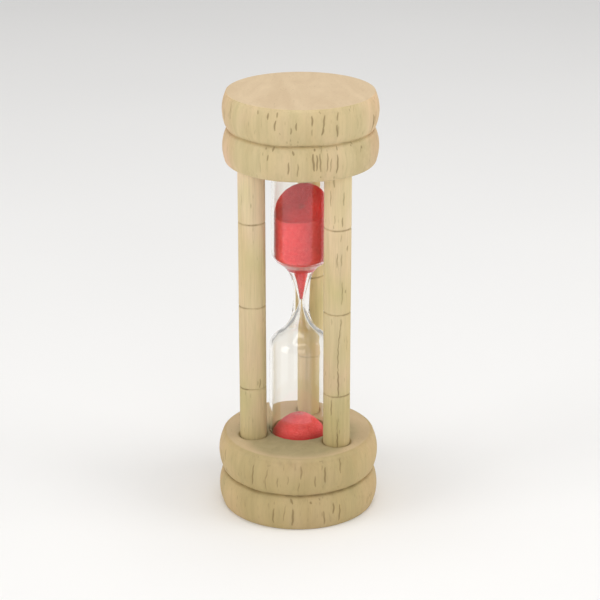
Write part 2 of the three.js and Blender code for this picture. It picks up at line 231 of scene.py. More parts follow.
TOP_MARKS = [m for m in moved(TOP_MARKS, -0.8, -0.35) if max(m[1], m[3]) > 0.3] + [
    (-26.7, 8.5, -26.0, 8.8, 0.4, 0.8), (10.2, 8.4, 10.6, 8.8, 0.5, 0.9), (40, 8.5, 40.5, 8.8, 0.35, 0.7), (50.6, 9.3, 50.9, 9.9, 0.45, 0.8)]
BOTTOM_MARKS = moved(BOTTOM_MARKS, 0.9, 0.5)
POST_MARKS = {k: moved(v, 0, 0.5) for k, v in POST_MARKS.items()}

def cap_fill(r):
    """Marks for the sides and back of a cap, as dense as those on its front."""
    out = []
    for low, high, count in ((0.5, 7.2, 30), (8.8, 14.8, 32)):
        for _ in range(count):
            a = r.uniform(60, 300)
            length = r.uniform(0.7, 4.2)
            h0 = r.uniform(low, max(low + 0.1, high - length * 0.6))
            h1 = min(h0 + length, high + 0.4)
            out.append((a, h0, a + r.uniform(-1.6, 1.6), h1, r.uniform(0.26, 0.48), r.uniform(0.3, 0.95)))
    return out

def post_fill(r, n, low, high):
    out = []
    for _ in range(n):
        a = r.uniform(75, 285)
        z0 = r.uniform(low, high - 8)
        out.append((a, z0, a + r.uniform(-3, 3), z0 + r.uniform(1.5, 9), r.uniform(0.2, 0.34), r.uniform(0.2, 0.8)))
    return out

# ------------------------------------------------------------------ end caps
BEAD_ARC, BEAD_OUTER_AT, CREASE_AT = 8.9, 3.9, 8.1
MOUTH_R, HOLE_DEPTH = 3.42, 8.0
SEAT_R, SEAT_DEPTH = 7.12, 5.6

def cap_radius(h, R, T, inner_at):
    bead = lambda hh, c: R - BEAD_ARC + np.sqrt(BEAD_ARC ** 2 - (hh - c) ** 2)
    ro, ri = 0.22, 1.1
    hh = np.clip(h, ro, T - ri)
    r = np.where(hh < CREASE_AT, bead(hh, BEAD_OUTER_AT), bead(hh, inner_at))
    r = r - (0.46 if inner_at < 12.3 else 0.62) * np.exp(-(np.abs(hh - CREASE_AT) / 0.2) ** 1.15)
    low = np.clip((ro - h) / ro, 0, 1)
    r = r - ro * (1 - np.sqrt(np.clip(1 - low ** 2, 0, 1)))
    high = np.clip((h - (T - ri)) / ri, 0, 1)
    return r - ri * 1.15 * (1 - np.sqrt(np.clip(1 - high ** 2, 0, 1)))

def cap(name, R, T, flip, table, seed):
    """Closed surface of an end cap. It is drawn with its outer face at height 0; flip puts that face on top."""
    r_ = np.random.default_rng(seed)
    n = 720
    ang = ring_angles(n)
    front_deg = (np.degrees(ang) + 90.0 + 180.0) % 360.0 - 180.0  # 0 at -Y, + towards +X
    hs = np.unique(np.concatenate([
        0.22 * (1 - np.cos(np.linspace(0, math.pi / 2, 6))),
        np.linspace(0.22, CREASE_AT - 0.7, 27), CREASE_AT + np.linspace(-0.7, 0.7, 17),
        np.linspace(CREASE_AT + 0.7, T - 1.1, 26), T - 1.1 + 1.1 * np.sin(np.linspace(0, math.pi / 2, 10))]))
    uneven = Waves(r_, 0.018, 5, 14)
    ripple = Waves(r_, 0.010, 60, 9, 30)
    crease_wave = Waves(r_, 0.09, 13, 50)
    dashes = Waves(np.random.default_rng(seed + 100), 1.0, 46, 9, 24)
    wood = Build(("mark", "shade", "inner", "flank"))
    fill = cap_fill(r_)
    if flip:
        fill = [(180 - a0, h0, 180 - a1, h1, w_, k_) for (a0, h0, a1, h1, w_, k_) in fill]
    allmarks = table + fill
    rings = []
    for h in hs:
        hv = np.full(n, h)
        shift = crease_wave(ang, 0.0) * np.exp(-((h - CREASE_AT) / 1.2) ** 2)
        rr = cap_radius(np.clip(hv + shift, 0, T), R, T, 12.1 if flip else 12.5)
        side = smooth(h, 0.0, 0.5) * (1 - smooth(h, T - 1.2, T))
        m = marks(front_deg, hv, R - 0.3, allmarks) * smooth(np.float64(h), -0.05, 0.15) * (1 - smooth(np.float64(h), T - 0.5, T - 0.1))
        rr = rr + (uneven(ang, h) + ripple(ang, h)) * side - 0.09 * m
        front = np.exp(-(((front_deg - 12) / 38.0) ** 2))
        # painted shade: the crease between the two beads is darkened, more at the front, broken into dashes, and less
        # on the top cap
        shade = np.exp(-(np.abs(h + shift - CREASE_AT) / 0.36) ** 1.5) * (0.34 + 0.30 * front + 0.16 * np.sin(ang * 7 + seed) * np.sin(ang * 3 + 1)) * np.clip(0.85 + 0.45 * dashes(ang, 0.0), 0.2, 1.5) * (0.55 if flip else 1.0)
        # painted shade: the right side of each cap's lower bead is darkened, standing in for light falling from the
        # left
        shaded_bead = smooth(h, 8.4, 9.4) if flip else 1 - smooth(h, 6.8, 7.8)
        shade = shade + (0.30 if flip else 0.20) * shaded_bead * smooth(np.cos(ang), 0.55, 0.85)
        # painted shade: the bottom cap's front shoulder, just below its upper face, is darkened
        if not flip:
            shade = shade + 0.12 * np.exp(-(front_deg / 40.0) ** 2) * smooth(h, T - 3.4, T - 2.0) * (1 - smooth(h, T - 0.9, T - 0.2))
        # the rings next to the face between the posts take part of that face's painted shade, and the far left and
        # right sides of each cap take painted light
        rings.append(wood.add(np.stack([rr * np.cos(ang), rr * np.sin(ang), hv], 1), mark=m, shade=np.clip(shade, 0, 1), inner=float(smooth(h, T - 1.5, T - 0.1)), flank=smooth(np.abs(np.cos(ang)), *((0.8, 0.97) if flip else (0.6, 0.96)))))
    for a, b in zip(rings[:-1], rings[1:]):
        wood.strip(a, b)

    def face(ring_ids, z, up, holes):
        """A flat face bounded by the ring, with round holes; returns the vertex ids of each hole's ring."""
        base = np.concatenate(wood.v)[ring_ids][:, :2]
        pts, edges, owner = [tuple(p) for p in base], [], list(ring_ids)
        edges += [(i, (i + 1) % len(base)) for i in range(len(base))]
        made = []
        for (cx, cy, hr, count) in holes:
            a = ring_angles(count)
            wob = 1 + 0.012 * np.sin(a * 3 + cx) + 0.01 * np.sin(a * 5 + cy) if hr < 5 else np.ones(count)
            c = np.stack([cx + hr * wob * np.cos(a), cy + hr * wob * np.sin(a)], 1)
            k = len(pts)
            pts += [tuple(p) for p in c]
            owner += [None] * count
            edges += [(k + i, k + (i + 1) % count) for i in range(count)]
            made.append((k, count))
        rim = np.hypot(base[:, 0], base[:, 1]).min()
        extra = []
        for (cx, cy, hr, count) in holes:
            for grow in (0.10, 0.25, 0.5, 0.9):
                a = ring_angles(count if grow < 0.3 else count // 2)
                extra.append(np.stack([cx + (hr + grow) * np.cos(a), cy + (hr + grow) * np.sin(a)], 1))
        gx, gy = np.meshgrid(np.arange(-18, 18.1, 0.75), np.arange(-18, 18.1, 0.75))
        grid = np.stack([gx.ravel() + r_.uniform(-0.12, 0.12, gx.size), gy.ravel() + r_.uniform(-0.12, 0.12, gx.size)], 1)
        edge_rings = [np.stack([(rim - g) * np.cos(ring_angles(c)), (rim - g) * np.sin(ring_angles(c))], 1) for g, c in ((0.15, 360), (0.4, 180))]
        cand = np.concatenate(extra + edge_rings + [grid]) if extra else np.concatenate(edge_rings + [grid])
        ok = np.hypot(cand[:, 0], cand[:, 1]) < rim - 0.07
        for (cx, cy, hr, count) in holes:
            ok &= np.hypot(cand[:, 0] - cx, cand[:, 1] - cy) > hr * 1.02 + 0.05
        cand = cand[ok]
        keep = []
        cell = {}
        for p in cand:  # thins points that fall on each other
            key = (round(p[0] / 0.09), round(p[1] / 0.09))
            if key not in cell:
                cell[key] = 1
                keep.append(p)
        k0 = len(pts)
        pts += [tuple(p) for p in keep]
        owner += [None] * len(keep)
        res = delaunay_2d_cdt([Vector(p) for p in pts], edges, [], 1, 1e-5)
        verts2, faces2, orig = res[0], res[2], res[3]
        ids = np.empty(len(verts2), int)
        for i, v in enumerate(verts2):
            o = orig[i][0] if orig[i] else None
            if o is not None and owner[o] is not None:
                ids[i] = owner[o]
            else:
                # painted shade round the mouths of the post holes, strongest at their left and right; painted light on
                # the rear middle of the bottom cap's upper face
                sh = 0.0
                for (cx, cy, hr, c) in holes:
                    d = math.hypot(v[0] - cx, v[1] - cy)
                    if hr < 5 and d < hr + 1:
                        sh = max(sh, (0.12 + 0.6 * abs((v[0] - cx) / max(d, 0.1)) ** 2) * math.exp(-max(d - hr, 0) / 0.2))
                ids[i] = wood.add([[v[0], v[1], z]], shade=sh, inner=1.0 if up else 0.0, flank=float(smooth(v[1], 1.0, 7.0) * (1 - smooth(abs(v[0]), 8.0, 11.0))) if up and not flip else 0.0)[0]
        for f in faces2:
            c = np.mean([[verts2[i][0], verts2[i][1]] for i in f], 0)
            if any(math.hypot(c[0] - cx, c[1] - cy) < hr * 0.985 for (cx, cy, hr, cnt) in holes):
                continue
            p, q, s = (verts2[i] for i in f[:3])
            ccw = (q[0] - p[0]) * (s[1] - p[1]) - (q[1] - p[1]) * (s[0] - p[0]) > 0
            tri = [int(ids[i]) for i in f]
            wood.f.append(tri if ccw == up else tri[::-1])
        back = {}
        for i in range(len(verts2)):
            for o in orig[i]:
                back[o] = ids[i]
        return [np.array([back[k + i] for i in range(count)]) for k, count in made]

    face(rings[0], 0.0, False, [])
    cx0 = TOP_X if flip else 0.0
    holes = [(x - cx0, -y if flip else y, MOUTH_R, 72) for (x, y, _, _) in POSTS.values()]
    seat_r = SEAT_R if flip else 6.98
    holes.append((VIAL_X - cx0, 0.0, seat_r + (0.12 if flip else 0.03), 144))
    mouths = face(rings[-1], T, True, holes)
    for (cx, cy, hr, count), mouth in zip(holes, mouths):
        a = ring_angles(count)
        if hr < 5:
            steps = [(3.24, T - 0.10), (3.08, T - 0.20), (3.07, T - 2.5), (3.07, T - HOLE_DEPTH)]
        else:
            steps = [(seat_r + 0.01, T - 0.06), (seat_r, T - 0.2), (seat_r, T - 2.5), (seat_r, T - SEAT_DEPTH)]
        prev = mouth
        for (rr, z) in steps:
            # painted shade on the walls and bottoms of the post holes and the seat
            cur = wood.add(np.stack([cx + rr * np.cos(a), cy + rr * np.sin(a), np.full(count, z)], 1), shade=(0.15 + 0.5 * np.abs(np.cos(a)) ** 2) if hr < 5 else 0.25)
            # the wall faces the hole's own axis
            p2, c2 = np.roll(prev, -1), np.roll(cur, -1)
            wood.f += np.stack([prev, p2, c2, cur], 1).tolist()
            prev = cur
        pole = wood.add([[cx, cy, steps[-1][1]]], shade=0.9)[0]
        wood.fan(prev, pole, True)
    V = np.concatenate(wood.v)
    r_all = np.hypot(V[:, 0], V[:, 1])
    V[:, 2] -= 0.12 * smooth(r_all, 11.0, R - 1.6) * smooth(V[:, 2], T - 1.8, T - 0.1)
    wood.v = [V]
    # the painted shade of the face between the posts is taken back towards the rear and carried out to the rim at the
    # front
    wood.a["inner"] = [np.concatenate(wood.a["inner"]) * (1 - 0.75 * smooth(V[:, 1], 0.0, 5.0)) * (1 - 0.85 * smooth(r_all + 0.5 * np.sin(3 * np.arctan2(V[:, 1], V[:, 0])) - 3.0 * smooth(-V[:, 1] / np.maximum(r_all, 1), 0.55, 1.0), 11.2, 14.8))]
    if flip:
        V[:, 0] += TOP_X
        V[:, 1] *= -1
        V[:, 2] = HEIGHT - V[:, 2]
        wood.v = [V]
    # the front is at -Y in both: a flipped cap mirrors its Y twice over
    return wood

def make_cap(name, node, R, T, flip, table, seed):
    if flip:  # angles are measured from the front after the cap is turned over about X
        table = [(180 - a0, h0, 180 - a1, h1, w, s) for (a0, h0, a1, h1, w, s) in table]
    w = cap(name, R, T, flip, table, seed)
    ob = w.make(name)
    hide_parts(node)
    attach(ob, "frame")
    return ob

cap_bottom = make_cap("turned_cap_bottom", "end_cap_bottom", R_BOTTOM, T_BOTTOM, False, BOTTOM_MARKS, 11)
cap_top = make_cap("turned_cap_top", "end_cap_top", R_TOP, T_TOP, True, TOP_MARKS, 12)

# ------------------------------------------------------------------ posts
RING_Z = [POSTS["post_left"][2] + 0.2 + d for d in (19.5, 38.9, 58.3)]
RING_RISE = {"post_rear": (2.5, 2.0, 1.9)}

def make_post(node, seed):
    r_ = np.random.default_rng(seed)
    x, y, low, high = POSTS[node]
    n = 132
    ang = ring_angles(n)
    deg = (np.degrees(ang) + 90.0 + 180.0) % 360.0 - 180.0
    zs = [np.linspace(low + 0.5, high - 0.5, 210)]
    ring_z = [z + d for z, d in zip(RING_Z, RING_RISE.get(node, (0.0, 0.0, 0.0)))]
    for z in ring_z:
        zs.append(z + np.linspace(-0.6, 0.6, 19))
    zs = np.sort(np.concatenate(zs))
    zs = np.concatenate([[low, low + 0.15], zs, [high - 0.15, high]])
    zs = zs[np.concatenate([[True], np.diff(zs) > 0.015])]
    table = POST_MARKS[node] + post_fill(r_, {"post_right": 22, "post_left": 8, "post_rear": 8}[node], 17, 80)
    uneven = Waves(r_, 0.02, 3, 40)
    flutes = Waves(r_, 0.008, 24, 60, 24)
    tilt = [(r_.uniform(-0.07, 0.07), r_.uniform(0, 6.28), r_.uniform(-0.03, 0.03)) for _ in ring_z]
    b = Build(("mark", "shade"))
    rings = []
    for z in zs:
        end = min(z - low, high - z)
        base = 3.0 - 0.5 * max(0.0, 1 - end / 0.5)
        zz = np.full(n, z)
        groove = np.zeros(n)
        line = np.zeros(n)
        for zr, (ta, tp, tb) in zip(ring_z, tilt):
            d = z - (zr + ta * np.sin(ang + tp) + 0.04 * np.sin(3 * ang + tp) + tb)
            depth = 0.20 * (0.85 + 0.25 * np.sin(2 * ang + tp * 2))
            groove += depth * np.exp(-(d / 0.13) ** 2)
            line = np.maximum(line, (0.72 + 0.28 * np.sin(2 * ang + tp)) * np.exp(-(np.abs(d) / 0.20) ** 2.2))
        m = marks(deg, zz, 3.0, table)
        rr = base + (uneven(ang, z) + flutes(ang, z)) - groove - 0.12 * m
        rr = np.minimum(rr, 3.03)
        # painted shade round the posts' ends where they go into the caps; the ring lines are the posts' own dark lines
        foot_shade = (0.1 + 0.4 * np.cos(ang) ** 2) * math.exp(-max(0.0, z - T_BOTTOM) / 0.3) + 0.6 * math.exp(-max(0.0, (HEIGHT - T_TOP) - z) / 0.35)
        rings.append(b.add(np.stack([x + rr * np.cos(ang), y + rr * np.sin(ang), zz], 1), mark=np.maximum(m, 0), shade=np.clip(line * 1.05 + foot_shade, 0, 1)))
    for p, q in zip(rings[:-1], rings[1:]):
        b.strip(p, q)
    b.fan(rings[0], b.add([[x, y, low]])[0], False)
    b.fan(rings[-1], b.add([[x, y, high]])[0], True)
    ob = b.make("dowel_" + node[5:])
    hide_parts(node)
    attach(ob, "frame")
    return ob

dowels = [make_post(n_, s_) for n_, s_ in (("post_rear", 21), ("post_right", 22), ("post_left", 23))]

# ------------------------------------------------------------------ vial: the same profile as the frame's glass, smoothed
VB, VT = 12.08, 83.6
RL, RU, WALL = 6.88, 6.6, 0.6
LEAN, PIVOT = math.radians(0.4), 22.0
OUTSIDE = [(0, VB), (1.8, VB + 0.02), (3.4, VB + 0.08), (5.0, VB + 0.5), (6.1, VB + 1.35), (6.7, VB + 2.6), (RL, VB + 4.2), (RL, 22), (RL, 28), (RL, 33), (RL, 37.0),
           (6.78, 38.0), (6.5, 38.6), (6.05, 39.2), (5.4, 39.75), (4.7, 40.35), (3.9, 41.1), (3.1, 42.0), (2.52, 43.0), (2.19, 44.0), (1.98, 45.2), (1.87, 46.5),
           (1.84, 48.2), (1.87, 50.0), (1.95, 51.5), (2.12, 52.8), (2.42, 53.9), (2.9, 54.8), (3.5, 55.6), (4.15, 56.3), (4.95, 56.95), (5.75, 57.6), (6.32, 58.35),
           (6.55, 59.15), (RU, 60.4), (RU, 64), (RU, 70), (RU, 76), (RU, VT - 0.25)]
INSIDE = [(0, VB + 0.75), (1.7, VB + 0.77), (3.2, VB + 0.82), (4.7, VB + 1.2), (5.6, VB + 1.95), (6.1, VB + 3.0), (RL - WALL, VB + 4.4), (RL - WALL, 22), (RL - WALL, 28),
          (RL - WALL, 33), (RL - WALL, 36.7), (6.14, 37.7), (5.8, 38.4), (5.25, 39.05), (4.6, 39.6), (3.9, 40.15), (3.1, 40.95), (2.35, 41.85), (1.68, 42.9), (1.25, 43.9),
          (0.9, 45.0), (0.57, 46.1), (0.36, 47.4), (0.38, 48.2), (0.87, 51.2), (1.37, 54.2), (1.66, 55.2), (2.27, 55.95), (3.2, 56.6), (4.4, 57.3), (5.25, 57.78),
          (5.72, 58.12), (5.95, 58.65), (RU - WALL, 59.6), (RU - WALL, 64), (RU - WALL, 70), (RU - WALL, 76), (RU - WALL, VT - 0.25)]

def curve_through(pts, step):
    """Centripetal Catmull-Rom through the points, resampled at about one step."""
    P = np.array(pts, float)
    P = np.concatenate([[2 * P[0] - P[1]], P, [2 * P[-1] - P[-2]]])
    out = []
    for i in range(1, len(P) - 2):
        p0, p1, p2, p3 = P[i - 1:i + 3]
        t0 = 0.0
        t1 = t0 + math.sqrt(np.linalg.norm(p1 - p0))
        t2 = t1 + math.sqrt(np.linalg.norm(p2 - p1))
        t3 = t2 + math.sqrt(np.linalg.norm(p3 - p2))
        n = max(1, int(round(np.linalg.norm(p2 - p1) / step)))
        for t in np.linspace(t1, t2, n, endpoint=False):
            a1 = (t1 - t) / (t1 - t0) * p0 + (t - t0) / (t1 - t0) * p1
            a2 = (t2 - t) / (t2 - t1) * p1 + (t - t1) / (t2 - t1) * p2
            a3 = (t3 - t) / (t3 - t2) * p2 + (t - t2) / (t3 - t2) * p3
            b1 = (t2 - t) / (t2 - t0) * a1 + (t - t0) / (t2 - t0) * a2
            b2 = (t3 - t) / (t3 - t1) * a2 + (t - t1) / (t3 - t1) * a3
            out.append((t2 - t) / (t2 - t1) * b1 + (t - t1) / (t2 - t1) * b2)
    out.append(P[-2])
    out = np.array(out)
    out[:, 0] = np.maximum(out[:, 0], 0)
    return out

def place_vial(V):
    """Blown glass is never quite true: the neck runs a little off the bulbs' axis, and the vial leans."""
    V = np.array(V, float)
    V[:, 0] += 0.20 * np.exp(-((V[:, 2] - 49.0) / 8.0) ** 2)
    x, z = V[:, 0].copy(), V[:, 2] - PIVOT
    V[:, 0] = x * math.cos(LEAN) + z * math.sin(LEAN)
    V[:, 2] = -x * math.sin(LEAN) + z * math.cos(LEAN) + PIVOT + VIAL_Z
    V[:, 0] += VIAL_X
    return V

def make_vial():
    outside, inside = curve_through(OUTSIDE, 0.45), curve_through(INSIDE, 0.45)
    rim = [(RU - 0.08, VT - 0.06), (RU - 0.3, VT), (RU - WALL + 0.08, VT - 0.06)]
    prof = np.concatenate([outside[1:], rim, inside[::-1][:-1]])
    n = 144
    ang = ring_angles(n)
    b = Build()
    blown = Waves(np.random.default_rng(31), 0.012, 3, 26)
    first = b.add([[0, 0, outside[0][1]]])[0]
    rings = []
    for r, z in prof:
        rr = r * (1 + blown(ang, z) / 6.0)
        rings.append(b.add(np.stack([rr * np.cos(ang), rr * np.sin(ang), np.full(n, z)], 1)))
    last = b.add([[0, 0, inside[0][1]]])[0]
    b.fan(rings[0], first, False)
    for p, q in zip(rings[:-1], rings[1:]):
        b.strip(p, q)
    b.fan(rings[-1], last, True)
    b.v = [place_vial(np.concatenate(b.v))]
    ob = b.make("blown_vial")
    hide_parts("glass_vial")
    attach(ob, "vial")
    return ob

vial = make_vial()

# ------------------------------------------------------------------ sand
INNER = curve_through(INSIDE, 0.2)
def inner_radius(z):
    return np.interp(z, INNER[:, 1], INNER[:, 0])

GAP = 0.07
def sand_surface(x, y):
    """Height of the sand in the upper bulb: heaped at its angle of rest at the back, hollowed where it has begun to drain."""
    s = 0.25 * x + 0.97 * y
    slope = 0.62 * (s + 2.97)
    soft = 0.55
    h = 67.95 + soft * np.logaddexp(0.0, slope / soft)
    pit = -0.75 * np.exp(-(((x + 2.2) / 2.2) ** 2 + ((y + 3.2) / 1.8) ** 2))
    return np.minimum(h + pit, 73.6)

def closed_sand(name, node, top_fn, wall_r, wall_low, below, seed, n=184):
    """A body of sand: a free surface, a wall against the glass, and what lies below it as (radius, height) rings."""
    r_ = np.random.default_rng(seed)
    ang = ring_angles(n)
    b = Build(("low", "pale", "dish"))
    rings = []
    cosa, sina = np.cos(ang), np.sin(ang)
    rads = np.linspace(0, wall_r, 32)[1:]
    pole = b.add([[0, 0, float(top_fn(np.zeros(1), np.zeros(1))[0])]])[0]
    for r in rads:
        x, y = r * cosa, r * sina
        # painted shade: a darker band round the lower heap's base against the glass, and over all the sand below it
        foot_shade = float(smooth(r, 4.7, 5.9)) if below[-1][1] < 20 else 0.0
        # painted shade: the upper sand's free surface is redder and darker, most in the hollow at its front left
        dish = np.clip(0.7 + 0.15 * x + 0.6 * np.exp(-((x + 3.0) ** 2 + (y + 3.6) ** 2) / 3.0), 0, 1) if below[-1][1] > 20 and r < wall_r - 0.15 else 0.0
        rings.append(b.add(np.stack([x, y, top_fn(x, y)], 1), low=foot_shade, dish=dish))
    edge = top_fn(wall_r * cosa, wall_r * sina)
    steps = int(max(6, round((edge.mean() - wall_low) / 0.24)))
    for t in np.linspace(0, 1, steps + 1)[1:]:
        z = edge * (1 - t) + wall_low * t
        low = float(smooth(t, 0.0, 0.5)) if below[-1][1] < 20 else 0.0
        r = np.minimum(wall_r, inner_radius(z) - GAP)
        rings.append(b.add(np.stack([r * cosa, r * sina, z], 1), low=low))
    # painted light: a pale pink band on the funnel's shoulder stands in for the glow of light through the glass there
    for r, z in below:
        rings.append(b.add(np.stack([r * cosa, r * sina, np.full(n, z)], 1), low=1.0 if below[-1][1] < 20 else 0.0, pale=float(smooth(z, 56.3, 56.9) * (1 - smooth(z, 57.6, 58.1)))))
    last = b.add([[0, 0, below[-1][1]]])[0]
    b.fan(rings[0], pole, True)
    for p, q in zip(rings[:-1], rings[1:]):
        b.strip(q, p)
    b.fan(rings[-1], last, False)
    V = np.concatenate(b.v)
    # grains: each vertex stands a little in or out
    grain = r_.uniform(-1, 1, len(V))
    rad = np.hypot(V[:, 0], V[:, 1])
    limit = inner_radius(V[:, 2]) + np.where((V[:, 2] > 55.2) & (V[:, 2] < 58.2), 0.08, -0.03)
    top = np.zeros(len(V), bool)
    top[: 1 + len(rads) * n] = True
    V[top, 2] += grain[top] * 0.045
    side = ~top & (rad > 0.3)
    k = 1 + (grain * 0.03)[side] / rad[side]
    V[side, 0] *= k
    V[side, 1] *= k
    rad2 = np.hypot(V[:, 0], V[:, 1])
    over = rad2 > limit
    cut = limit / np.maximum(rad2, 1e-6)
    V[over, 0] *= cut[over]
    V[over, 1] *= cut[over]
    b.v = [place_vial(V)]
    ob = b.make(name)
    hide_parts(node)
    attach(ob, "vial")
    return ob

def rests(z):
    """On the shoulder the grains lie right on the glass; elsewhere a thin air gap shows."""
    return -GAP + (GAP + 0.05) * float(smooth(z, 55.2, 55.6) * (1 - smooth(z, 57.9, 58.2)))

funnel = [(max(0.16, float(inner_radius(z)) + rests(z)), z) for z in np.concatenate([np.arange(59.2, 55.0, -0.14), np.arange(55.0, 48.5, -0.22), [48.35]])]
sand_up = closed_sand("sand_mass_upper", "sand_upper", sand_surface, RU - WALL - GAP, 59.4, funnel, 41)

HEAP = np.array([(0, 20.38), (0.7, 20.32), (1.4, 20.16), (2.2, 19.84), (3.0, 19.36), (4.0, 18.6), (5.0, 17.6), (5.6, 16.85), (6.21, 15.95)])
heap_wave = Waves(np.random.default_rng(43), 0.05, 4, 30)
def heap_surface(x, y):
    r = np.hypot(x, y)
    a = np.arctan2(y, x)
    return np.interp(r, HEAP[:, 0], HEAP[:, 1]) + heap_wave(a, r) * np.minimum(r / 2, 1)

bowl = [(float(inner_radius(z)) - GAP, z) for z in np.concatenate([np.arange(15.2, VB + 1.5, -0.2), [VB + 1.35, VB + 1.15, VB + 1.02]])]
bowl += [(3.9, VB + 0.94), (3.0, VB + 0.9), (1.6, VB + 0.88), (0.6, VB + 0.87)]
sand_low = closed_sand("sand_mass_lower", "sand_lower", heap_surface, RL - WALL - GAP, 15.3, bowl, 42)

# ------------------------------------------------------------------ node helpers
class Mat:
    def __init__(self, name):
        self.m = bpy.data.materials.new(name)
        self.m.use_nodes = True
        self.t = self.m.node_tree
        self.t.nodes.clear()
        self.out = self.t.nodes.new("ShaderNodeOutputMaterial")
    def node(self, kind, **props):
        n = self.t.nodes.new(kind)
        for k, v in props.items():
            if k.startswith("in_"):
                n.inputs[k[3:].replace("_", " ")].default_value = v
            else:
                setattr(n, k, v)
        return n
    def link(self, a, b):
        self.t.links.new(a, b)
    def math(self, op, a, b=None, c=None, clamp=False):
        n = self.t.nodes.new("ShaderNodeMath")
        n.operation = op
        n.use_clamp = clamp
        for i, v in enumerate((a, b, c)):
            if v is None:
                continue
            if isinstance(v, (int, float)):
                n.inputs[i].default_value = v
            else:
                self.link(v, n.inputs[i])
        return n.outputs[0]
    def coords(self, scale, offset=(0, 0, 0)):
        tc = self.node("ShaderNodeTexCoord")
        mp = self.node("ShaderNodeMapping")
        mp.inputs["Scale"].default_value = scale
        mp.inputs["Location"].default_value = offset
        self.link(tc.outputs["Object"], mp.inputs["Vector"])
        return mp.outputs["Vector"]
    def noise(self, vec, scale=1.0, detail=4.0, rough=0.55, distortion=0.0):
        n = self.node("ShaderNodeTexNoise")
        n.inputs["Scale"].default_value = scale
        n.inputs["Detail"].default_value = detail
        n.inputs["Roughness"].default_value = rough
        n.inputs["Distortion"].default_value = distortion
        self.link(vec, n.inputs["Vector"])
        return n.outputs["Fac"]
    def ramp(self, fac, stops, interp="LINEAR"):
        n = self.node("ShaderNodeValToRGB")
        n.color_ramp.interpolation = interp
        e = n.color_ramp.elements
        while len(e) > 1:
            e.remove(e[-1])
        for i, (p, c) in enumerate(stops):
            el = e[0] if i == 0 else e.new(p)
            el.position = p
            el.color = (*c, 1) if len(c) == 3 else c
        self.link(fac, n.inputs["Fac"])
        return n.outputs["Color"]
    def mix(self, fac, a, b, blend="MIX"):
        n = self.node("ShaderNodeMix", data_type="RGBA", blend_type=blend)
        for sock, v in ((n.inputs["Factor"], fac), (n.inputs["A"], a), (n.inputs["B"], b)):
            pass
        ins = [i for i in n.inputs if i.enabled] if False else n.inputs
        f, ca, cb = ins[0], ins[6], ins[7]
        for sock, v in ((f, fac), (ca, a), (cb, b)):
            if isinstance(v, (int, float)):
                sock.default_value = v
            elif isinstance(v, tuple):
                sock.default_value = (*v, 1) if len(v) == 3 else v
            else:
                self.link(v, sock)
        return n.outputs[2]
    def attr(self, name):
        n = self.node("ShaderNodeAttribute")
        n.attribute_name = name
        return n.outputs["Fac"]

def lin(r, g, b):
    f = lambda c: ((c / 255 + 0.055) / 1.055) ** 2.4 if c > 10.3 else c / 255 / 12.92
    return (f(r), f(g), f(b))

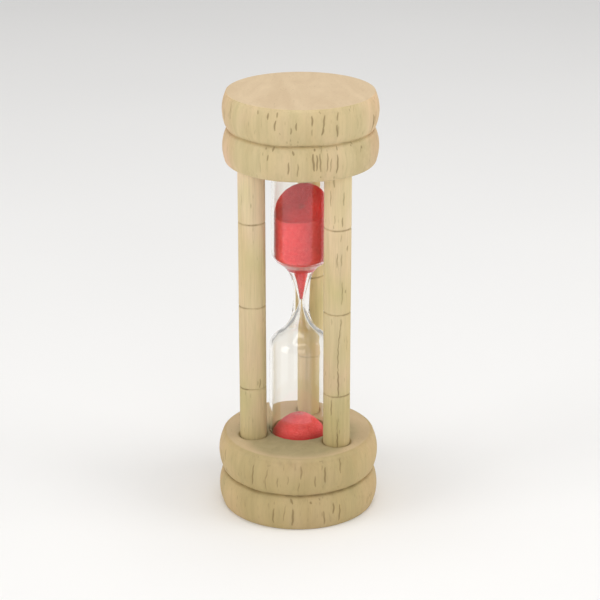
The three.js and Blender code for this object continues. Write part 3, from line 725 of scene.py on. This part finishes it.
# ------------------------------------------------------------------ wood
def wood_material(name, tone, patches, dark, streak_amt, end_tone=None, inner_tone=None, seed=0.0, height_tone=None, flank_tone=None):
    w = Mat(name)
    off = (seed * 3.1, seed * 1.7, seed * 2.3)
    # broad patches: warmer, greener and greyer areas a centimetre across
    p1 = w.noise(w.coords((95, 95, 60), off), 1.0, 2.0, 0.5, 0.4)
    p2 = w.noise(w.coords((150, 150, 42), (off[1], off[2], off[0])), 1.0, 3.0, 0.5, 0.2)
    base = w.ramp(p1, [(0.30, patches[0]), (0.50, tone), (0.70, patches[1])])
    base = w.mix(w.math("MULTIPLY", w.ramp(p2, [(0.42, (0, 0, 0)), (0.68, (1, 1, 1))]), 0.55), base, patches[2])
    # long fibres along the grain
    f1 = w.noise(w.coords((1900, 1900, 70), off), 1.0, 5.0, 0.62, 0.3)
    f2 = w.noise(w.coords((5200, 5200, 260), off), 1.0, 3.0, 0.6)
    fibre = w.math("ADD", w.math("MULTIPLY", f1, 0.65), w.math("MULTIPLY", f2, 0.35))
    light = w.ramp(fibre, [(0.34, (1 - streak_amt * 2.0,) * 3), (0.5, (1, 1, 1)), (0.66, (1 + streak_amt * 0.8,) * 3)])
    base = w.mix(1.0, base, light, "MULTIPLY")
    f0 = w.noise(w.coords((620, 620, 48), (off[2], off[1], off[0])), 1.0, 2.0, 0.5, 0.3)
    base = w.mix(1.0, base, w.ramp(f0, [(0.36, (0.945, 0.95, 0.935)), (0.5, (1, 1, 1)), (0.64, (1.03, 1.025, 1.025))]), "MULTIPLY")
    if height_tone is not None:
        sz = w.node("ShaderNodeSeparateXYZ")
        w.link(w.coords((1, 1, 1)), sz.inputs[0])
        up = w.math("DIVIDE", w.math("SUBTRACT", sz.outputs[2], T_BOTTOM * MM), (HEIGHT - T_TOP - T_BOTTOM) * MM, clamp=True)
        base = w.mix(1.0, base, w.ramp(up, [(0.0, height_tone[0]), (1.0, height_tone[1])]), "MULTIPLY")
    # painted light: the far left and right sides of the caps and the rear middle of the bottom cap's upper face are
    # brightened
    if flank_tone is not None:
        base = w.mix(w.attr("flank"), base, w.mix(1.0, base, flank_tone, "MULTIPLY"))
    if inner_tone is not None:
        # painted shade: between the posts each cap's face is duller and greener, standing in for the shade that falls
        # between the caps
        inside = w.ramp(w.noise(w.coords((300, 300, 300), off), 1.0, 4.0, 0.6, 0.5), [(0.35, inner_tone[0]), (0.65, inner_tone[1])])
    if end_tone is not None:
        # faces across the grain: paler, partly as painted light standing in for the light from above on flat faces,
        # with fine pores in place of streaks
        geo = w.node("ShaderNodeNewGeometry")
        sep = w.node("ShaderNodeSeparateXYZ")
        w.link(geo.outputs["Normal"], sep.inputs[0])
        flat = w.math("SMOOTHSTEP" if False else "ABSOLUTE", sep.outputs[2])
        ends = w.ramp(flat, [(0.93, (0, 0, 0)), (0.995, (1, 1, 1))])
        pore = w.noise(w.coords((2600, 2600, 2600), off), 1.0, 4.0, 0.7)
        ring = w.noise(w.coords((210, 60, 210), (off[2], off[0], off[1])), 1.0, 3.0, 0.55, 1.2)
        end = w.ramp(ring, [(0.32, end_tone[0]), (0.55, end_tone[1]), (0.75, end_tone[2])])
        end = w.mix(1.0, end, w.ramp(pore, [(0.30, (0.86, 0.85, 0.83)), (0.42, (1, 1, 1)), (1.0, (1.02, 1.02, 1.02))]), "MULTIPLY")
        base = w.mix(ends, base, end)
    # the painted shade between the posts is laid over the faces
    if inner_tone is not None:
        base = w.mix(w.attr("inner"), base, inside)
    # pores and fissures
    brk = w.noise(w.coords((3600, 3600, 1300), off), 1.0, 3.0, 0.6)
    mk = w.math("ADD", w.attr("mark"), w.math("MULTIPLY", w.math("SUBTRACT", brk, 0.5), 0.35))
    mk = w.ramp(mk, [(0.10, (0, 0, 0)), (0.62, (1, 1, 1))])
    mk_amt = w.math("MULTIPLY", mk, w.ramp(w.attr("mark"), [(0.02, (0, 0, 0)), (0.30, (0.75, 0.75, 0.75)), (0.9, (1, 1, 1))]))
    base = w.mix(w.math("MULTIPLY", mk_amt, 0.62), base, dark)
    # small scattered pores everywhere on the long grain
    vor = w.node("ShaderNodeTexVoronoi", feature="F1")
    vor.inputs["Randomness"].default_value = 1.0
    vor.inputs["Scale"].default_value = 1.0
    w.link(w.coords((1250, 1250, 330), off), vor.inputs["Vector"])
    sel = w.noise(w.coords((420, 420, 160), (off[1], off[0], off[2])), 1.0, 2.0, 0.5)
    tiny = w.ramp(vor.outputs["Distance"], [(0.10, (1, 1, 1)), (0.26, (0, 0, 0))])
    tiny = w.math("MULTIPLY", tiny, w.ramp(sel, [(0.50, (0, 0, 0)), (0.66, (1, 1, 1))]))
    base = w.mix(w.math("MULTIPLY", tiny, 0.35), base, dark)
    # painted shade in the creases, on the hole mouths and walls and round the posts' ends, together with the posts' own
    # dark ring lines
    sh = w.math("MULTIPLY", w.attr("shade"), w.ramp(w.noise(w.coords((800, 800, 800), off), 1.0, 3.0, 0.6), [(0.38, (0.55, 0.55, 0.55)), (0.62, (1.15, 1.15, 1.15))]), clamp=True)
    base = w.mix(w.math("MULTIPLY", sh, 0.60), base, lin(120, 98, 58))
    bsdf = w.node("ShaderNodeBsdfPrincipled")
    w.link(base, bsdf.inputs["Base Color"])
    rough = w.ramp(fibre, [(0.3, (0.70,) * 3), (0.7, (0.56,) * 3)])
    rough = w.mix(mk_amt, rough, (0.9, 0.9, 0.9))
    w.link(rough, bsdf.inputs["Roughness"])
    bsdf.inputs["Specular IOR Level"].default_value = 0.32
    h = w.math("ADD", w.math("MULTIPLY", fibre, 0.6), w.math("MULTIPLY", brk, 0.25))
    h = w.math("SUBTRACT", h, w.math("MULTIPLY", mk_amt, 0.8))
    h = w.math("SUBTRACT", h, w.math("MULTIPLY", tiny, 0.4))
    bump = w.node("ShaderNodeBump")
    bump.inputs["Strength"].default_value = 0.55
    bump.inputs["Distance"].default_value = 0.00006
    w.link(h, bump.inputs["Height"])
    w.link(bump.outputs["Normal"], bsdf.inputs["Normal"])
    w.link(bsdf.outputs[0], w.out.inputs["Surface"])
    return w.m

DARK = lin(112, 92, 56)
wood_top = wood_material("turned_wood_top", lin(206, 187, 144), (lin(199, 183, 138), lin(212, 187, 150), lin(201, 177, 132)), DARK, 0.036,
                         (lin(208, 184, 150), lin(214, 191, 157), lin(220, 197, 163)), (lin(196, 178, 136), lin(206, 188, 146)), 1.0, None, (1.10, 1.0, 1.06))
# partly painted shade: the bottom cap's tones are darker than the top cap's, standing in for less light from above
wood_bottom = wood_material("turned_wood_bottom", lin(184, 164, 118), (lin(173, 158, 111), lin(190, 166, 126), lin(177, 154, 106)), DARK, 0.036,
                            (lin(201, 177, 139), lin(207, 183, 145), lin(212, 189, 152)), (lin(163, 150, 112), lin(175, 160, 122)), 2.0, None, (1.15, 1.09, 1.12))
POST_TONES = (lin(203, 183, 138), (lin(192, 178, 126), lin(209, 182, 144), lin(196, 170, 120)), DARK, 0.06,
              (lin(214, 190, 148), lin(222, 198, 156), lin(228, 205, 165)), None)
post_wood = wood_material("dowel_wood", *POST_TONES, 4.0, ((0.89, 0.90, 0.86), (1.27, 1.31, 1.52)))
# painted light: the rear post's copy of the dowel wood is made brighter, standing in for the light that the glass and
# the other posts keep from it
rear_wood_brightened = wood_material("dowel_wood_rear_brightened", *POST_TONES, 6.0, ((1.10, 1.16, 1.18), (1.22, 1.13, 0.98)))
for ob, m in ((cap_bottom, wood_bottom), (cap_top, wood_top)):
    ob.data.materials.append(m)
for ob, m in zip(dowels, (rear_wood_brightened, post_wood, post_wood)):
    ob.data.materials.append(m)

# ------------------------------------------------------------------ glass
def glass_material():
    w = Mat("blown_glass")
    tint = w.ramp(w.noise(w.coords((90, 90, 60)), 1.0, 2.0, 0.5), [(0.3, (0.988, 0.977, 0.945)), (0.7, (0.995, 0.985, 0.957))])
    g = w.node("ShaderNodeBsdfPrincipled")
    w.link(tint, g.inputs["Base Color"])
    g.inputs["Transmission Weight"].default_value = 1.0
    g.inputs["Roughness"].default_value = 0.0
    g.inputs["IOR"].default_value = 1.50
    bump = w.node("ShaderNodeBump")
    bump.inputs["Strength"].default_value = 0.25
    bump.inputs["Distance"].default_value = 0.00003
    w.link(w.noise(w.coords((260, 260, 120)), 1.0, 2.0, 0.5, 0.4), bump.inputs["Height"])
    w.link(bump.outputs["Normal"], g.inputs["Normal"])
    clear = w.node("ShaderNodeBsdfTransparent")
    clear.inputs["Color"].default_value = (0.965, 0.965, 0.96, 1)
    lp = w.node("ShaderNodeLightPath")
    mixs = w.node("ShaderNodeMixShader")
    w.link(lp.outputs["Is Shadow Ray"], mixs.inputs[0])
    w.link(g.outputs[0], mixs.inputs[1])
    w.link(clear.outputs[0], mixs.inputs[2])
    w.link(mixs.outputs[0], w.out.inputs["Surface"])
    return w.m

vial.data.materials.append(glass_material())

# ------------------------------------------------------------------ sand
def sand_material(name, painted_light_level):
    w = Mat(name)
    vor = w.node("ShaderNodeTexVoronoi", feature="F1")
    vor.inputs["Scale"].default_value = 1.0
    w.link(w.coords((5200, 5200, 5200)), vor.inputs["Vector"])
    grain = w.node("ShaderNodeSeparateColor")
    w.link(vor.outputs["Color"], grain.inputs[0])
    tone = w.ramp(grain.outputs[0], [(0.0, lin(226, 73, 78)), (0.35, lin(235, 86, 90)), (0.70, lin(240, 94, 98)), (0.93, lin(243, 104, 106)), (1.0, lin(247, 122, 121))])
    broad = w.noise(w.coords((160, 160, 160)), 1.0, 2.0, 0.5)
    tone = w.mix(1.0, tone, w.ramp(broad, [(0.3, (0.93 * painted_light_level, 0.92, 0.92)), (0.7, (1.05 * painted_light_level, 1.04, 1.04))]), "MULTIPLY")
    edge = w.ramp(vor.outputs["Distance"], [(0.35, (1, 1, 1)), (0.85, (0.72, 0.66, 0.66))])
    tone = w.mix(0.8, tone, edge, "MULTIPLY")
    # painted shade at the lower heap's base and on the upper sand's free surface, and painted light in the shoulder
    # band
    tone = w.mix(w.math("MULTIPLY", w.attr("low"), 0.75), tone, lin(186, 44, 46))
    tone = w.mix(w.attr("dish"), tone, w.mix(1.0, tone, (0.93, 0.50, 0.52), "MULTIPLY"))
    tone = w.mix(w.math("MULTIPLY", w.attr("pale"), 0.85), tone, lin(255, 190, 184))
    b = w.node("ShaderNodeBsdfPrincipled")
    w.link(tone, b.inputs["Base Color"])
    b.inputs["Roughness"].default_value = 0.82
    b.inputs["Specular IOR Level"].default_value = 0.1
    b.inputs["Subsurface Weight"].default_value = 0.7
    b.inputs["Subsurface Radius"].default_value = (1.0, 0.30, 0.26)
    b.inputs["Subsurface Scale"].default_value = 0.0035
    bump = w.node("ShaderNodeBump", invert=True)
    bump.inputs["Strength"].default_value = 0.7
    bump.inputs["Distance"].default_value = 0.00009
    w.link(vor.outputs["Distance"], bump.inputs["Height"])
    w.link(bump.outputs["Normal"], b.inputs["Normal"])
    w.link(b.outputs[0], w.out.inputs["Surface"])
    return w.m

# painted light: the upper and lower sand are the same sand, their red raised by different amounts to stand in for the
# light each gets
for ob, m in ((sand_up, sand_material("coral_sand", 1.18)), (sand_low, sand_material("coral_sand_lower_dimmer", 1.05))):
    ob.data.materials.append(m)

# ------------------------------------------------------------------ cork, on the hidden frame pieces
def cork_material():
    w = Mat("raw_cork")
    vor = w.node("ShaderNodeTexVoronoi", feature="F1")
    w.link(w.coords((1400, 1400, 1400)), vor.inputs["Vector"])
    vor.inputs["Scale"].default_value = 1.0
    sep = w.node("ShaderNodeSeparateColor")
    w.link(vor.outputs["Color"], sep.inputs[0])
    col = w.ramp(sep.outputs[0], [(0.0, lin(140, 100, 62)), (0.5, lin(178, 138, 92)), (1.0, lin(204, 168, 122))])
    pit = w.noise(w.coords((900, 900, 900)), 1.0, 3.0, 0.6)
    col = w.mix(w.ramp(pit, [(0.62, (0, 0, 0)), (0.72, (0.8, 0.8, 0.8))]), col, lin(84, 56, 34))
    b = w.node("ShaderNodeBsdfPrincipled")
    w.link(col, b.inputs["Base Color"])
    b.inputs["Roughness"].default_value = 0.88
    bump = w.node("ShaderNodeBump")
    bump.inputs["Strength"].default_value = 0.6
    bump.inputs["Distance"].default_value = 0.0001
    w.link(pit, bump.inputs["Height"])
    w.link(bump.outputs["Normal"], b.inputs["Normal"])
    w.link(b.outputs[0], w.out.inputs["Surface"])
    return w.m

cork = cork_material()
for n_ in ("vial_stopper", "seat_disc_top", "seat_disc_bottom"):
    ob = frame["nodes"][n_]
    ob.data.materials.clear()
    ob.data.materials.append(cork)

# ------------------------------------------------------------------ stage and light
def floor_material():
    """Plain pale sweep, the same for every ray."""
    w = Mat("pale_floor")
    tone = w.noise(w.coords((6, 6, 6)), 1.0, 2.0, 0.5)
    white = w.node("ShaderNodeBsdfDiffuse")
    w.link(w.ramp(tone, [(0.3, (0.90, 0.90, 0.90)), (0.7, (0.92, 0.92, 0.92))]), white.inputs["Color"])
    w.link(white.outputs[0], w.out.inputs["Surface"])
    return w.m

floor = new_object("floor", [(-4000, -4000, -0.02), (4000, -4000, -0.02), (4000, 4000, -0.02), (-4000, 4000, -0.02)], [[0, 1, 2, 3]], smooth=False)
floor.data.materials.append(floor_material())

world = bpy.data.worlds.new("studio")
bpy.context.scene.world = world
world.use_nodes = True
bg = world.node_tree.nodes["Background"]
bg.inputs["Color"].default_value = (1.0, 0.995, 0.985, 1)
bg.inputs["Strength"].default_value = 0.42

def softbox(name, loc, target, size, power, colour=(1, 1, 1)):
    d = bpy.data.lights.new(name, "AREA")
    d.shape = "RECTANGLE"
    d.size, d.size_y = size
    d.energy = power
    d.color = colour
    o = bpy.data.objects.new(name, d)
    o.location = loc
    o.rotation_euler = (Vector(target) - Vector(loc)).to_track_quat("-Z", "Y").to_euler()
    bpy.context.scene.collection.objects.link(o)
    return o

mid = (0, 0, 0.05)
softbox("top_box", (0.02, -0.05, 0.80), mid, (0.6, 0.6), 2.9, (1, 0.985, 0.965))
softbox("left_box", (-0.78, -0.36, 0.34), mid, (0.5, 0.7), 2.9, (1, 0.985, 0.965))
softbox("right_box", (0.80, -0.20, 0.34), mid, (0.5, 0.7), 2.7, (1, 0.99, 0.975))
softbox("front_box", (0.10, -0.95, 0.40), mid, (0.5, 0.5), 1.2)

scene = bpy.context.scene
scene.cycles.max_bounces = 24
scene.cycles.glossy_bounces = 16
scene.cycles.transmission_bounces = 24
scene.view_settings.view_transform = "Standard"
scene.view_settings.look = "None"
scene.view_settings.exposure = 0.0
scene.view_settings.gamma = 1.0
